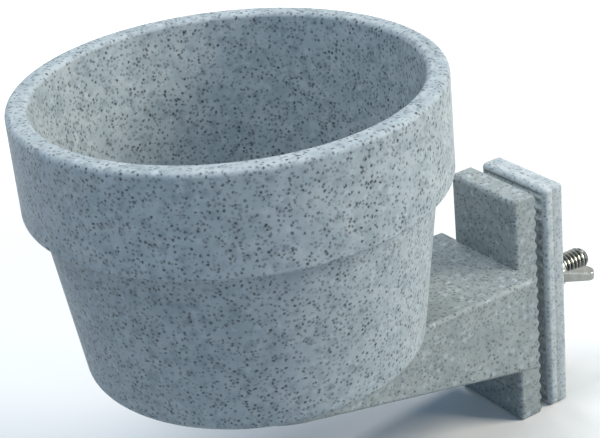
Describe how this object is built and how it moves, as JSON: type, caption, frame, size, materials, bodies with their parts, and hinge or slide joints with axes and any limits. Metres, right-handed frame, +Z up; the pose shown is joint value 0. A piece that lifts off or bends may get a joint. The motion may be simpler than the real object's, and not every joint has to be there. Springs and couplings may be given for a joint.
{
  "type": "seed cup",
  "caption": "Flower-pot shaped pet cup on a hollow bracket arm, held to cage wires by two serrated jaws that a bolt and wing nut pull together.",
  "frame": {"origin": "on the bolt's axis, in the plane of the fixed jaw's tooth crests, where the cage wires bear", "axes": "+X along the bolt, away from the cup; +Z up, along the cup's axis"},
  "size_m": [0.1568, 0.1, 0.1168],
  "materials": {
    "granite_plastic": "satin moulded, granite-look speckle",
    "zinc_plated_steel": "bright zinc plate"
  },
  "bodies": {
    "bracket": {"bracket": "granite_plastic", "clamp_bolt": "zinc_plated_steel"},
    "crock": {"crock": "granite_plastic"},
    "clamp_plate": {"clamp_plate": "granite_plastic"},
    "wing_nut": {"wing_nut": "zinc_plated_steel"}
  },
  "joints": [
    {"name": "crock_twist", "type": "hinge", "parent": "bracket", "child": "crock", "pos_m": [-0.0793, 0, 0.0135], "axis": [0, 0, 1], "range_deg": [0, 60]},
    {"name": "jaw_slide", "type": "slide", "parent": "bracket", "child": "clamp_plate", "axis": [1, 0, 0], "range_m": [-0.0029, 0.01]},
    {"name": "wing_nut_turn", "type": "hinge", "parent": "clamp_plate", "child": "wing_nut", "pos_m": [0.0098, 0, 0], "axis": [1, 0, 0], "range_deg": [-820, 2830]}
  ],
  "couplings": [
    {"joint": "jaw_slide", "follows": "wing_nut_turn", "m_per_rad": 0.00020213}
  ]
}
